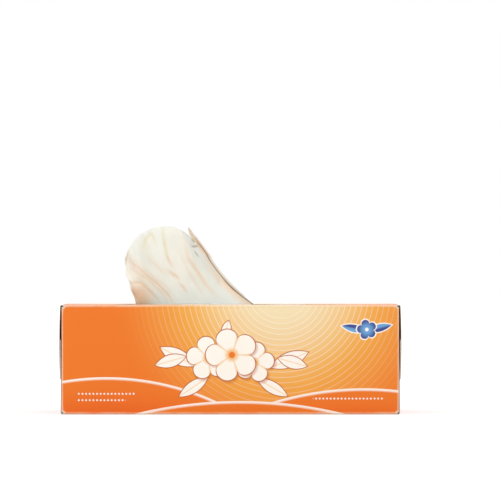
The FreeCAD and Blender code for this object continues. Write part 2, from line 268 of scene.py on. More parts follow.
def quads(rows, count, closed):
    """The faces between rows of points; the rows of a closed one meet their own start."""
    faces = []
    for row in range(rows):
        for here in range(count if closed else count - 1):
            a, b = row * count + here, row * count + (here + 1) % count
            faces.append((a, b, b + count, a + count))
    return faces


def border_of(faces):
    """The edges that only one face has, in that face's direction."""
    sides = {}
    for face in faces:
        for here, after in zip(face, face[1:] + face[:1]):
            sides[here, after] = face
    return [side for side in sides if side[::-1] not in sides]


def close_shell(outer, inner, faces):
    """One closed skin of two like sheets: its points, its faces and the rim's faces."""
    count = len(outer)
    lining = [tuple(number + count for number in reversed(face)) for face in faces]
    rim = [(after, here, here + count, after + count) for here, after in border_of(faces)]
    return outer + inner, faces + lining, rim


def add_piece(name, points, faces, node, materials):
    """A smooth-shaded mesh that stands for one CAD node, and hides that node."""
    mesh = bpy.data.meshes.new(name)
    mesh.from_pydata([tuple(point) for point in points], [], faces)
    mesh.validate()
    mesh.polygons.foreach_set("use_smooth", [True] * len(mesh.polygons))
    for material in materials:
        mesh.materials.append(material)
    piece = bpy.data.objects.new(name, mesh)
    bpy.context.scene.collection.objects.link(piece)
    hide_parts(node)
    return piece


def lay_map(mesh, places):
    """Gives the mesh a map named OFBake, with a place for each face corner."""
    layer = mesh.uv_layers.new(name="OFBake")
    for loop, place in zip(layer.data, places):
        loop.uv = place


def sharpen(mesh, degrees):
    """Marks the edges sharper than an angle, so that they aren't shaded round."""
    shape = bmesh.new()
    shape.from_mesh(mesh)
    limit = math.radians(degrees)
    for edge in shape.edges:
        edge.smooth = len(edge.link_faces) == 2 and edge.calc_face_angle() < limit
    shape.to_mesh(mesh)
    shape.free()


# Materials


class Wire:
    """A socket of a material; sums and products of it add Math nodes."""

    def __init__(self, paint, socket):
        self.paint = paint
        self.socket = socket

    def __add__(self, other):
        return self.paint.maths("ADD", self, other)

    def __sub__(self, other):
        return self.paint.maths("SUBTRACT", self, other)

    def __rsub__(self, other):
        return self.paint.maths("SUBTRACT", other, self)

    def __mul__(self, other):
        return self.paint.maths("MULTIPLY", self, other)

    def __truediv__(self, other):
        return self.paint.maths("DIVIDE", self, other)

    def __pow__(self, other):
        return self.paint.maths("POWER", self, other)

    def __abs__(self):
        return self.paint.maths("ABSOLUTE", self)

    __radd__ = __add__
    __rmul__ = __mul__


class Paint:
    """The nodes of one material or world, and what they work out."""

    def __init__(self, owner):
        self.owner = owner
        owner.use_nodes = True
        self.tree = owner.node_tree
        self.tree.nodes.clear()

    def node(self, kind, settings=None, sockets=None):
        """Adds a node, sets it up, and fills its sockets with values or links."""
        node = self.tree.nodes.new("ShaderNode" + kind)
        for name, value in (settings or {}).items():
            setattr(node, name, value)
        for name, value in (sockets or {}).items():
            if isinstance(value, Wire):
                self.tree.links.new(value.socket, node.inputs[name])
            else:
                node.inputs[name].default_value = value
        return node

    def wire(self, kind, settings=None, sockets=None, output=0):
        """Adds a node in the same way, and gives one of its outputs."""
        return Wire(self, self.node(kind, settings, sockets).outputs[output])

    def maths(self, operation, *values):
        return self.wire("Math", {"operation": operation}, dict(enumerate(values)))

    def step(self, value, low, high):
        """0 where value is under low, 1 where it is over high, soft between."""
        sockets = {"Value": value, "From Min": low, "From Max": high}
        return self.wire("MapRange", {"interpolation_type": "SMOOTHSTEP"}, sockets)

    def fade(self, value, low, high):
        """1 where value is under low, 0 where it is over high, soft between."""
        return 1 - self.step(value, low, high)

    def mix(self, factor, under, over):
        """The colour under where factor is 0, and the colour over where it is 1."""
        under, over = (
            shade if isinstance(shade, Wire) else (*shade, 1.0) for shade in (under, over)
        )
        return self.wire("Mix", {"data_type": "RGBA"}, {0: factor, 6: under, 7: over}, 2)

    def blend(self, factor, under, over):
        """The same for two shaders."""
        return self.wire("MixShader", None, {0: factor, 1: under, 2: over})

    def attribute(self, name, output="Fac"):
        return self.wire("Attribute", {"attribute_name": name}, None, output)

    def split(self, vector):
        node = self.node("SeparateXYZ", None, {0: vector})
        return [Wire(self, socket) for socket in node.outputs]

    def place(self):
        """The point's place in the object, in metres."""
        return self.wire("TexCoord", None, None, "Object")

    def stretched(self, vector, scale):
        return self.wire("VectorMath", {"operation": "MULTIPLY"}, {0: vector, 1: scale})

    def clouds(self, vector, scale, detail=3.0, roughness=0.5):
        """Soft noise about 0.5; scale is in waves to the metre."""
        sockets = {"Vector": vector, "Scale": scale, "Detail": detail, "Roughness": roughness}
        return self.wire("TexNoise", None, sockets, "Fac")

    def bump(self, height, distance, strength):
        sockets = {"Height": height, "Distance": distance, "Strength": strength}
        return self.wire("Bump", None, sockets, "Normal")

    def seen(self):
        """1 for light that goes to the camera: straight, off gloss or through the film."""
        rays = self.node("LightPath").outputs
        straight = self.maths(
            "MAXIMUM", Wire(self, rays["Is Camera Ray"]), Wire(self, rays["Is Glossy Ray"])
        )
        return self.maths("MAXIMUM", straight, Wire(self, rays["Is Transmission Ray"]))

    def surface(self, sockets):
        """A Principled shader; the sockets that don't vary are given as values."""
        return self.wire("BsdfPrincipled", None, sockets)

    def finish(self, shader, output="OutputMaterial"):
        """Ends the nodes with their shader, and gives the material or world."""
        self.node(output, None, {"Surface": shader})
        return self.owner


# The carton

# Rows of faces round the opening and how they crowd towards it, faces round half a
# fold, and faces down an end flap.
OPENING_ROWS, OPENING_CROWD, HALF_FOLD, FLAP_FACES = 10, 0.8, 3, 12
NICK_SEED = 11
# Share of an end fold that is worn most, and the lining's width and margin in the map,
# as shares of the strip that the blank leaves free.
FOLD_CORE, LINING_FILL, LINING_EDGE = 0.3, 0.97, 0.02


class Panel:
    """One straight run of the carton's section, and how far it and its end flaps reach."""

    def __init__(self, name, first, heading, outward, length, end, reach):
        self.name = name
        self.first = Vector((0, *first))
        self.heading = Vector((0, *heading))
        self.outward = Vector((0, *outward))
        self.length = length
        self.end = end
        self.reach = reach
        self.start = 0.0


class Blank:
    """The carton's flat sheet of board, and where each place of it goes when folded.

    A place is (across, along): across the panels in their order, seam flap, bottom,
    front, top and back, and along the box, where the end flaps reach past the panels.
    """

    def __init__(self, sizes):
        self.sizes = sizes
        fold, board = sizes.fold, sizes.board
        self.arc = fold * math.pi / 2
        layer = board + sizes.gap
        self.wrap_end = sizes.inside_half + board - fold
        low_end = self.wrap_end + layer
        seam_face = HALF_DEPTH - board
        tall = HEIGHT - fold * 2
        wide = (HALF_DEPTH - fold) * 2
        seam = board + sizes.seam_reach
        side = (self.wrap_end, sizes.side_reach)
        low = (low_end, sizes.low_reach)
        high = (low_end + layer, sizes.top_reach)
        self.panels = [
            Panel("seam", (seam_face, seam), (0, -1), (1, 0), seam - fold, self.wrap_end, 0.0),
            Panel("bottom", (seam_face - fold, 0), (-1, 0), (0, -1), wide - board, *low),
            Panel("front", (-HALF_DEPTH, fold), (0, 1), (-1, 0), tall, *side),
            Panel("top", (fold - HALF_DEPTH, HEIGHT), (1, 0), (0, 1), wide, *high),
            Panel("back", (HALF_DEPTH, HEIGHT - fold), (0, -1), (1, 0), tall, *side),
        ]
        start = 0.0
        for panel in self.panels:
            panel.start = start
            start += panel.length + self.arc
        self.width = start - self.arc
        self.faces = []
        self.numbers = {}
        self.places = []

    def panel_at(self, across):
        for panel in self.panels:
            if across <= panel.start + panel.length + self.arc + TINY:
                return panel

    def folded(self, across, along):
        """The place of a point of the outer face, and the direction it faces."""
        panel = self.panel_at(across)
        fold = self.sizes.fold
        rest = across - panel.start - panel.length
        if rest > TINY:
            turn = rest / fold
            outward = panel.outward * math.cos(turn) + panel.heading * math.sin(turn)
            centre = panel.first + panel.heading * panel.length - panel.outward * fold
            return centre + outward * fold + RIGHT * along, outward
        point = panel.first + panel.heading * (across - panel.start)
        past = abs(along) - panel.end
        if past <= TINY:
            lift = panel_lift(panel.name, point + RIGHT * along)
            return point + RIGHT * along + panel.outward * lift, panel.outward
        end = RIGHT * math.copysign(1, along)
        if past <= self.arc + TINY:
            turn = past / fold
            outward = panel.outward * math.cos(turn) + end * math.sin(turn)
            centre = point + end * panel.end - panel.outward * fold
            return centre + outward * fold, outward
        down = past - self.arc
        point = point + end * (panel.end + fold) - panel.outward * (fold + down)
        if panel.name in ("top", "bottom"):
            # The two outer flaps bow out together, as far as the top one reaches.
            part = (HEIGHT - fold - point.z) / (self.sizes.top_reach - fold)
            point += end * self.sizes.bow * max(part * (1 - part) * 4, 0)
        return point, end

    def number(self, across, along):
        key = (round(across / TINY), round(along / TINY))
        if key not in self.numbers:
            self.numbers[key] = len(self.places)
            self.places.append((across, along))
        return self.numbers[key]

    def grid(self, acrosses, alongs, kind):
        for low, high in zip(acrosses, acrosses[1:]):
            for left, right in zip(alongs, alongs[1:]):
                corners = ((low, left), (low, right), (high, right), (high, left))
                self.faces.append((tuple(self.number(*corner) for corner in corners), kind))

    def ring(self, panel, alongs, acrosses):
        """The top panel's middle, from its edges to the torn oval opening."""
        sizes = self.sizes
        hole_half = (sizes.opening_width / 2, sizes.opening_length / 2)
        edge_half = ((acrosses[-1] - acrosses[0]) / 2, alongs[-1])
        middle = panel.start + panel.length / 2
        edge = [(across, alongs[-1]) for across in acrosses]
        edge += [(acrosses[-1], along) for along in reversed(alongs[:-1])]
        edge += [(across, alongs[0]) for across in reversed(acrosses[:-1])]
        edge += [(acrosses[0], along) for along in alongs[1:-1]]
        rings = []
        for row in range(OPENING_ROWS + 1):
            part = (row / OPENING_ROWS) ** OPENING_CROWD
            line = []
            for across, along in edge:
                hole = oval_point(across - middle, along, edge_half, hole_half)
                nick = random.uniform(-1, 1) * sizes.nick if row == OPENING_ROWS else 0.0
                hole = (hole[0] * (1 + nick / hole_half[0]) + middle, hole[1])
                spot = [a + (b - a) * part for a, b in zip((across, along), hole)]
                line.append(self.number(*spot))
            rings.append(line)
        count = len(edge)
        for outer, inner in zip(rings, rings[1:]):
            for here in range(count):
                after = (here + 1) % count
                face = (outer[here], outer[after], inner[after], inner[here])
                self.faces.append((face, "top"))

    def turned_out(self, face, points):
        """The face, with its corners in the order that makes it face outwards."""
        a, b, c, d = (points[number] for number in face)
        middle = [sum(self.places[number][axis] for number in face) / 4 for axis in (0, 1)]
        _, outward = self.folded(*middle)
        return face if (c - a).cross(d - b).dot(outward) > 0 else face[::-1]


def oval_point(across, along, edge_half, hole_half):
    """The point of the oval that goes with a point of the rectangle round it.

    Both are met after the same part of a quarter, counted from the middle of an end.
    """
    width, length = edge_half
    half_width, half_length = hole_half
    if abs(along) >= length - TINY:
        run = abs(across)
    else:
        run = width + length - abs(along)
    straight = half_length - half_width
    quarter = straight + half_width * math.pi / 2
    walked = run / (width + length) * quarter
    turn = min(walked / half_width, math.pi / 2)
    over = straight - max(walked - half_width * math.pi / 2, 0)
    spot = (half_width * math.sin(turn), over + half_width * math.cos(turn))
    return math.copysign(spot[0], across), math.copysign(spot[1], along)


def panel_lift(name, point):
    """How far a panel of soft board stands out from flat, at a place of it."""
    sizes = settings().carton
    half_length = sizes.inside_half + sizes.board - sizes.fold
    window = max(1 - (point.x / half_length) ** 2, 0)
    if name in ("front", "back"):
        tall = HEIGHT - sizes.fold * 2
        up = point.z - sizes.fold
        near = min(up, tall - up, half_length - abs(point.x))
        waves = noise_at(point.x * 14, point.z * 18, point.y * 40)
        window *= up / tall * (1 - up / tall) * 4
        return window * (sizes.bulge + waves * sizes.waves) - dent(near, sizes.tall_dent)
    if name in ("top", "bottom"):
        half_width = HALF_DEPTH - sizes.fold
        near = half_width - abs(point.y)
        waves = noise_at(point.x * 12, point.y * 16, 7.3)
        window *= max(1 - (point.y / half_width) ** 2, 0)
        lift = waves * sizes.waves if name == "top" else -abs(waves) * sizes.low_waves
        return window * lift - dent(near, sizes.flat_dent)
    return 0.0


def dent(near, depth):
    """Depth of the dent beside a crease, at a distance from the fold."""
    sizes = settings().carton
    return depth * bell(near - sizes.score, sizes.dent_width)


ART_KIND = {"front": 0, "back": 0, "top": 1, "end": 2, "bottom": 3, "seam": 3}


def art_place(kind, point):
    """Where a point lies on its panel's artwork: right, up, and the kind of panel."""
    up = point.z - HEIGHT / 2
    spots = {
        "front": (point.x, up),
        "back": (-point.x, up),
        "top": (point.x, point.y),
        "end": (math.copysign(1, point.x) * point.y, up),
    }
    return (*spots.get(kind, (point.x, -point.y)), ART_KIND[kind])


def scored(first, last, margin, sizes):
    """Places between two folds, with closer ones where the creases dent the board."""
    low, high = first + sizes.score, last - sizes.score
    count = max(int((last - first) / sizes.cell), 2)
    middle = steps(low + sizes.score, high - sizes.score, count)
    return [first + margin, low] + middle + [high, last - margin]


def lay_blank(blank):
    """Cuts the flat sheet into faces that fit each other along every fold."""
    sizes = blank.sizes
    alongs = scored(-blank.wrap_end, blank.wrap_end, 0.0, sizes)
    for number, panel in enumerate(blank.panels):
        first, last = panel.start, panel.start + panel.length
        inner = scored(first, last, sizes.relief, sizes)
        acrosses = [first] + inner + [last]
        if panel.name == "top":
            blank.ring(panel, alongs, acrosses)
        else:
            blank.grid(acrosses, alongs, panel.name)
        if number + 1 < len(blank.panels):
            arcs = steps(last, last + blank.arc, HALF_FOLD * 2)
            blank.grid(arcs[: HALF_FOLD + 1], alongs, panel.name)
            blank.grid(arcs[HALF_FOLD:], alongs, blank.panels[number + 1].name)
        if not panel.reach:
            continue
        turned = steps(panel.end, panel.end + blank.arc, HALF_FOLD * 2)
        flap_end = panel.end + blank.arc + panel.reach - sizes.fold
        strips = [
            (turned[: HALF_FOLD + 1], panel.name),
            (turned[HALF_FOLD:], "end"),
            (steps(turned[-1], flap_end, FLAP_FACES), "end"),
        ]
        # The top and bottom panels reach past the front and back before they fold.
        if panel.end > blank.wrap_end + TINY:
            strips.insert(0, ((blank.wrap_end, panel.end), panel.name))
        for way in (1, -1):
            for strip, kind in strips:
                blank.grid(inner, sorted(way * along for along in strip), kind)


def fold_wear(blank, across, along):
    """From 0 on a panel's flat to 1 on a fold or a cut edge, and past 1 at a corner."""
    sizes = blank.sizes
    panel = blank.panel_at(across)
    offset = across - panel.start
    side = min(offset, panel.length - offset)
    reach = abs(abs(along) - panel.end - blank.arc / 2)
    tip = panel.end + blank.arc + panel.reach - sizes.fold
    near_side = fading(side, 0, sizes.wear)
    near_end = fading(reach, blank.arc * FOLD_CORE, blank.arc / 2 + sizes.wear)
    near_tip = fading(abs(tip - abs(along)), 0, sizes.tip_wear)
    return near_side + near_end + near_tip


def board_map(blank, mesh, outer_count, rim_start):
    """The flat blank as the carton's map, with the lining small in its spare strip."""
    half = max(abs(along) for _, along in blank.places)
    size = max(blank.width, half * 2)
    spare = size - half * 2
    small = spare / blank.width * LINING_FILL
    places = []

    def spot(number):
        across, along = blank.places[number % outer_count]
        if number < outer_count:
            return (along + half) / size, across / size
        right = half * 2 + across * small + spare * LINING_EDGE
        return right / size, (along + half) * small / size

    for face in mesh.polygons:
        numbers = [mesh.loops[loop].vertex_index for loop in face.loop_indices]
        if face.index < rim_start:
            places += [spot(number) for number in numbers]
            continue
        stop, start = Vector(spot(numbers[0])), Vector(spot(numbers[1]))
        out = Vector((stop.y - start.y, start.x - stop.x)).normalized()
        out *= blank.sizes.board / size
        places += [stop, start, start + out, stop + out]
    lay_map(mesh, places)


class TISSUEBOX_OT_carton(bpy.types.Operator):
    """Folds the printed carton from its flat blank"""

    bl_idname = "tissuebox.carton"
    bl_label = "Carton"

    def execute(self, context):
        random.seed(NICK_SEED)
        blank = Blank(settings().carton)
        lay_blank(blank)
        outer, inner, worn = [], [], []
        for across, along in blank.places:
            point, outward = blank.folded(across, along)
            outer.append(point)
            inner.append(point - outward * blank.sizes.board)
            worn.append(fold_wear(blank, across, along))
        faces = [blank.turned_out(face, outer) for face, _ in blank.faces]
        points, shell, rim = close_shell(outer, inner, faces)
        materials = [printed_board(), bare_board()]
        piece = add_piece(
            "printed_carton", points, shell + rim, "carton", materials
        )
        mesh = piece.data
        count = len(faces)
        bare = [0] * count + [1] * (len(shell) - count + len(rim))
        mesh.polygons.foreach_set("material_index", bare)
        art = mesh.attributes.new("art", "FLOAT_VECTOR", "CORNER")
        for face in mesh.polygons:
            kind = blank.faces[face.index % count][1] if face.index < len(shell) else "seam"
            for loop in face.loop_indices:
                number = mesh.loops[loop].vertex_index
                art.data[loop].vector = art_place(kind, points[number])
        wear = mesh.attributes.new("wear", "FLOAT", "POINT")
        wear.data.foreach_set("value", worn * 2)
        board_map(blank, mesh, len(outer), len(shell))
        sharpen(mesh, degrees=50)
        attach(piece, BODY)
        return {"FINISHED"}


# The carton's print

# The drawing, in millimetres from a panel's middle. Leaves: right, up, degrees, length,
# width. Beads: left, right, up. Blossoms: right, up, radius, turn. Hills: the middle of
# a round hill and its radius.
LEAVES = (
    (-22, -4, 152, 25, 9),
    (-28, 2, 196, 20, 7.5),
    (-14, -11, 214, 22, 7),
    (25, -5, 22, 26, 9),
    (30, 1, -16, 19, 7.5),
    (17, -12, -30, 22, 7),
    (-4, 13, 76, 12, 5.5),
)
BEADS = ((-97, -60, -21.5), (-97, -66, -25.5), (52, 97, -24.5))
BLOSSOMS = ((-14, 1, 13.5, 0.4), (15, -1.5, 12.5, 1.3), (1, 3, 16.5, 0.0))
HILLS = ((-78, -176, 165), (84, -214, 196), (6, -302, 276))
# The low sun, the middle of the top panel's ripples, the blue blossom and its leaves'
# angles, and the blossom on the ends with its shadow.
SUN, TOP_RIPPLES = (32, 44), (-120, -60)
BLUE_BLOSSOM, BLUE_LEAVES = (86, 19, 6.2), (14, 168)
END_BLOSSOM, END_SHADOW = (0, 12, 11, 0.0), (0.8, 11, 11.4, 0.0)
# Pitch of the ripples and beads, half a bead, a blossom's petals, and the share of its
# radius that lies between the tip of a petal and the gap beside it.
RIPPLE, BEAD_PITCH, BEAD_HALF, PETALS, NOTCH = 3.4, 2.3, 0.75, 5, 0.42
# The step of a sine that leaves a fine line, and of a petal that leaves its gap.
FINE_LINE, PETAL_GAP = (0.86, 0.99), (0.04, 0.3)


class Artwork:
    """The drawing on a panel, in millimetres to the right and up from its middle."""

    def __init__(self, paint, x, y, shades):
        self.paint = paint
        self.x = x
        self.y = y
        self.shades = shades
        self.picture = None

    def ground(self, factor, under, over):
        """Starts a picture with a blend of two shades."""
        self.picture = self.paint.mix(factor, under, over)

    def lay(self, cover, shade):
        """Paints a shade over the picture where cover is 1."""
        self.picture = self.paint.mix(cover, self.picture, shade)

    def reach(self, right, up):
        """Distance from a point."""
        return self.paint.maths("SQRT", (self.x - right) ** 2 + (self.y - up) ** 2)

    def inside(self, edge, soft=0.12):
        """1 where edge is over 0, with a soft border."""
        return self.paint.step(edge, -soft, soft)

    def ripples(self, far):
        """Fine lines round a point, from the distance to it."""
        wave = self.paint.maths("SINE", far * (2 * math.pi / RIPPLE))
        return self.paint.step(wave, *FINE_LINE)

    def petals(self, right, up, radius, turn):
        """How far a point is inside a blossom's outline, and its distance and petal."""
        far = self.reach(right, up)
        angle = self.paint.maths("ARCTAN2", self.y - up, self.x - right) * (PETALS / 2)
        petal = abs(self.paint.maths("SINE", angle + turn))
        outline = (petal**0.5 * NOTCH + (1 - NOTCH)) * radius
        return outline - far, far, petal

    def beads(self, left, right, up):
        """A row of small diamonds."""
        across = self.paint.maths("FLOORED_MODULO", self.x, BEAD_PITCH) - BEAD_PITCH / 2
        edge = BEAD_HALF - abs(across) - abs(self.y - up)
        window = self.paint.step(self.x, left, left + 0.1)
        window = window * self.paint.fade(self.x, right, right + 0.1)
        return self.inside(edge, 0.15) * window * 0.9

    def leaf(self, right, up, degrees, length, width):
        """How far a point is inside a pointed leaf, and how far beside its middle line."""
        turn = math.radians(degrees)
        across, rise = self.x - right, self.y - up
        along = across * math.cos(turn) + rise * math.sin(turn)
        side = rise * math.cos(turn) - across * math.sin(turn)
        middle = along / (length / 2) - 1
        return (1 - middle * middle) * (width / 2) - abs(side), side


def front_art(art):
    """The front and back panels: hills, ripples round a low sun, and white blossoms."""
    paint, shades = art.paint, art.shades
    sun = art.reach(*SUN)
    art.ground(paint.step(sun, 12, 66), shades.cream, shades.amber)
    art.lay(paint.step(sun, 40, 108), shades.orange)
    fine = art.ripples(sun) * paint.fade(sun, 30, 104) * paint.step(sun, 12, 20)
    art.lay(fine * 0.55, shades.white)
    for right, up, radius in HILLS:
        edge = radius - art.reach(right, up)
        inside = art.inside(edge)
        art.lay(inside, paint.mix(paint.step(edge, 0, 26), shades.orange, shades.deep))
        art.lay(inside * paint.fade(edge, 0.7, 2.3) * 0.9, shades.white)
    for leaf in LEAVES:
        edge, side = art.leaf(*leaf)
        white = art.inside(edge)
        art.lay(art.inside(edge + 0.55), shades.line)
        art.lay(white, shades.white)
        art.lay(white * paint.fade(abs(side), 0.1, 0.4) * 0.6, shades.amber)
    for right, up, radius, turn in BLOSSOMS:
        shadow, _, _ = art.petals(right + 1.0, up - 1.2, radius + 0.6, turn)
        art.lay(art.inside(shadow, 1.4) * 0.5, shades.line)
        edge, far, petal = art.petals(right, up, radius, turn)
        art.lay(art.inside(edge + 0.6), shades.line)
        gap = paint.fade(petal, *PETAL_GAP) * paint.step(far, 1, 4)
        tint = paint.mix(gap * 0.55, shades.white, shades.amber)
        heart = paint.fade(far, radius * 0.13, radius * 0.34)
        art.lay(art.inside(edge), paint.mix(heart * 0.8, tint, shades.amber))
        art.lay(paint.fade(far, radius * 0.1, radius * 0.14), shades.orange)
    for row in BEADS:
        art.lay(art.beads(*row), shades.white)
    blue_accent(art, *BLUE_BLOSSOM)
    return art.picture


def blue_accent(art, right, up, radius):
    """A small blue blossom between two leaves, on a pale halo."""
    paint, shades = art.paint, art.shades
    for degrees in BLUE_LEAVES:
        edge, side = art.leaf(right, up - 1, degrees, radius * 2.6, radius * 0.75)
        art.lay(art.inside(edge + 0.7), shades.white)
        art.lay(art.inside(edge), paint.mix(art.inside(side, 0.9), shades.blue, shades.sky))
    edge, far, _ = art.petals(right, up, radius, 0.2)
    art.lay(art.inside(edge + 0.8), shades.white)
    art.lay(art.inside(edge), paint.mix(paint.step(far, 1.4, radius), shades.sky, shades.blue))
    art.lay(paint.fade(far, 1.0, 1.3), shades.white)


def top_art(art):
    """The top panel: a warm glow round the opening, with fine ripples."""
    paint, shades = art.paint, art.shades
    glow = paint.maths("SQRT", (art.x * 0.55) ** 2 + art.y**2)
    art.ground(paint.step(glow, 24, 44), shades.cream, shades.amber)
    art.lay(paint.step(glow, 36, 66), shades.orange)
    fine = art.ripples(art.reach(*TOP_RIPPLES)) * paint.step(glow, 26, 44)
    art.lay(fine * 0.3, shades.white)
    return art.picture


def end_art(art):
    """The ends: the ground's orange, with one white blossom."""
    paint, shades = art.paint, art.shades
    art.ground(paint.step(art.y, -30, 34), shades.deep, shades.orange)
    shadow, _, _ = art.petals(*END_SHADOW)
    art.lay(art.inside(shadow, 1.2) * 0.45, shades.line)
    edge, far, petal = art.petals(*END_BLOSSOM)
    tint = paint.mix(paint.fade(petal, *PETAL_GAP) * 0.5, shades.white, shades.amber)
    art.lay(art.inside(edge), paint.mix(paint.fade(far, 1.4, 3.4), tint, shades.amber))
    return art.picture


def printed_board():
    """Coated board with its print, worn pale along the folds and at the corners, with a painted
    highlight on the fold edges.
    """
    shades = settings().artwork
    paint = Paint(bpy.data.materials.new("printed_board"))
    right, up, kind = paint.split(paint.attribute("art", "Vector"))
    art = Artwork(paint, right / MM, up / MM, shades)
    picture = front_art(art)
    for number, other in enumerate((top_art(art), end_art(art), shades.orange)):
        picture = paint.mix(paint.step(kind, number + 0.4, number + 0.6), picture, other)

    place = paint.place()
    # Along the folds: a pale haze that is partly wear and partly a painted highlight on the
    # fold edges, cracks and bare board; and a slow change of tone.
    speckle = paint.clouds(place, 900, 4, 0.6)
    blotch = paint.clouds(place, 55, 4, 0.6)
    wear = paint.attribute("wear")
    rub = paint.step(wear + (blotch - 0.5) * 1.5 + (speckle - 0.5) * 0.8, 1.0, 1.75)
    # Partly wear and partly a painted highlight: cream along the fold edges.
    haze = paint.step(wear + (blotch - 0.5) * 0.9, 0.55, 1.5) * 0.46
    crack = paint.step(wear, 0.94, 1.0) * (blotch * 0.42)
    tone = (paint.clouds(place, 9, 2) - 0.35) * 0.16
    worn = (
        (haze, shades.cream),
        (crack, shades.white),
        (rub * 0.85, shades.raw),
        (tone, shades.deep),
    )
    for cover, shade in worn:
        picture = paint.mix(cover, picture, shade)
    fibres = paint.clouds(paint.stretched(place, (1.0, 2.2, 2.2)), 520, 4, 0.62)
    sockets = {
        "Base Color": picture,
        "Roughness": 0.34 + (blotch - 0.5) * 0.12 + rub * 0.4,
        "Normal": paint.bump(fibres + blotch * 0.8, 0.05 * MM, 0.5),
        "Specular IOR Level": 0.3,
        "Coat Weight": 0.06,
        "Coat Roughness": 0.2,
    }
    return paint.finish(paint.surface(sockets))


def bare_board():
    """The board's grey-white inside and cut edges, with paper fibres."""
    shades = settings().artwork
    paint = Paint(bpy.data.materials.new("bare_board"))
    place = paint.place()
    fibres = paint.clouds(paint.stretched(place, (1.0, 2.5, 2.5)), 700, 5, 0.65)
    flecks = paint.step(paint.clouds(place, 1600, 2), 0.66, 0.74)
    shade = paint.mix(paint.step(fibres, 0.3, 0.7), shades.pulp, shades.raw)
    shade = paint.mix(flecks * 0.35, shade, shades.fleck)
    normal = paint.bump(fibres, 0.06 * MM, 0.6)
    return paint.finish(
        paint.surface({"Base Color": shade, "Roughness": 0.86, "Normal": normal})
    )


# The film

# Faces round the slit and outwards from it, and how they crowd towards it.
FILM_AROUND, FILM_ROWS, FILM_CROWD = 150, 22, 1.7
# How square the gaping mouth's ends are, folds of the fan round it, the share of the
# loose film at which it starts to lie flat, and the share of the opening's half width
# at which the film starts to take the board's whole lift.
MOUTH_SQUARE, FAN_FOLDS, LOOSE_SHARE, BOARD_SHARE = 8, 11, 0.55, 0.6


def foot_span():
    """Middle and half length of the tissue's gather, along the slit."""
    tissue = settings().tissue
    half = tissue.foot_length / 2
    return tissue.foot_right - half, half


def mouth_half(x):
    """Half the film's gap at a place along the slit: wide round the tissue."""
    film, tissue = settings().film, settings().tissue
    middle, half = foot_span()
    rear = tissue.rear_reach / 2
    past = abs(x - middle - rear) / (half + rear + film.mouth_end)
    wide = tissue.gather + tissue.ripple + film.mouth
    return max(film.slit_gap / 2, wide * math.sqrt(1 - min(past, 1) ** MOUTH_SQUARE))


def film_rise(x, y):
    """How far the film stands over its plane: lips, folds, and the panel's own waves."""
    film, carton = settings().film, settings().carton
    middle, half = foot_span()
    past = max(abs(y) - mouth_half(x), 0)
    # Lips along the gather, and folds that fan out from its middle.
    window = fading(abs(x - middle), half - film.lip_inside, half + film.lip_past)
    wave = 0.75 + 0.35 * noise_at(x * 130, math.copysign(3, y), 1)
    lip = film.lip * window * wave * math.exp(-past / film.lip_reach)
    out = max(abs(x) * 2 / carton.opening_length, abs(y) / film.loose_half)
    fan = math.atan2(y, x - middle)
    folds = math.sin(fan * FAN_FOLDS + 2.5 * noise_at(x * 30, y * 40, 4))
    folds += 0.8 * math.sin(x * 190 + abs(y) * 130)
    folds *= film.wrinkle * fading(out, LOOSE_SHARE, 1.0)
    edge = carton.opening_width / 2
    held = 0.5 + 0.5 * smoothly(abs(y), edge * BOARD_SHARE, edge)
    return lip + folds + panel_lift("top", Vector((x, y, HEIGHT))) * held


class TISSUEBOX_OT_film(bpy.types.Operator):
    """Lays the clear film under the opening, with its slit open round the tissue"""

    bl_idname = "tissuebox.film"
    bl_label = "Film window"

    def execute(self, context):
        film = settings().film
        tip = film.slit_length / 2
        slit, border = [], []
        for way in (1, -1):
            for number in range(FILM_AROUND):
                angle = math.pi * number / FILM_AROUND
                right, back = math.cos(angle) * way, math.sin(angle) * way
                gap = mouth_half(tip * right) if number else 0.0
                slit.append((tip * right, gap * way))
                reach = max(abs(right), abs(back))
                border.append((FILM_HIGH.x * right / reach, FILM_HIGH.y * back / reach))
        top = []
        for row in range(FILM_ROWS + 1):
            part = (row / FILM_ROWS) ** FILM_CROWD
            for (x0, y0), (x1, y1) in zip(slit, border):
                x, y = x0 + (x1 - x0) * part, y0 + (y1 - y0) * part
                top.append(Vector((x, y, FILM_HIGH.z - film.sink + film_rise(x, y))))
        under = [point - UP * film.thickness for point in top]
        faces = [(a, d, c, b) for a, b, c, d in quads(FILM_ROWS, len(slit), True)]
        points, shell, rim = close_shell(top, under, faces)
        piece = add_piece(
            "clear_film", points, shell + rim, "film_window", [clear_film()]
        )
        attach(piece, BODY)
        return {"FINISHED"}


def clear_film():
    """Thin glossy film that is nearly clear, with painted glints along thin streaks."""
    paint = Paint(bpy.data.materials.new("clear_film"))
    place = paint.place()
    haze = paint.clouds(place, 60, 3)
    lines = paint.clouds(paint.stretched(place, (1.0, 9.0, 9.0)), 120, 3)
    slant = paint.wire("LayerWeight", None, {"Blend": 0.5}, "Facing")
    # Painted glints: thin streaks where the pale film is less clear, standing in for highlights on
    # its wrinkles.
    streaks = paint.clouds(paint.stretched(place, (1.0, 2.6, 1.0)), 26, 2, 0.4)
    glint = paint.fade(abs(streaks - 0.52), 0.004, 0.022) * paint.step(haze, 0.4, 0.65)
    sockets = {
        "Base Color": (0.93, 0.95, 0.96, 1.0),
        "Roughness": 0.07 + haze * 0.08,
        "Alpha": 0.05 + haze * 0.06 + slant**3 * 0.45 + glint * 0.26,
        "IOR": 1.5,
        "Specular IOR Level": 0.6,
        "Normal": paint.bump(lines + haze, 0.05 * MM, 0.35),
    }
    return paint.finish(paint.surface(sockets))


# The stack


def bundle_heights():
    """Heights of a side's points: three at each line between two bundles of leaves."""
    stack = settings().stack
    heights = [STACK_LOW.z]
    for number in range(1, int((STACK_HIGH.z - STACK_LOW.z) / stack.pitch) + 1):
        middle = STACK_LOW.z + number * stack.pitch
        heights += [middle - stack.groove, middle, middle + stack.groove]
    return [z for z in heights if z < STACK_HIGH.z - stack.groove * 2]


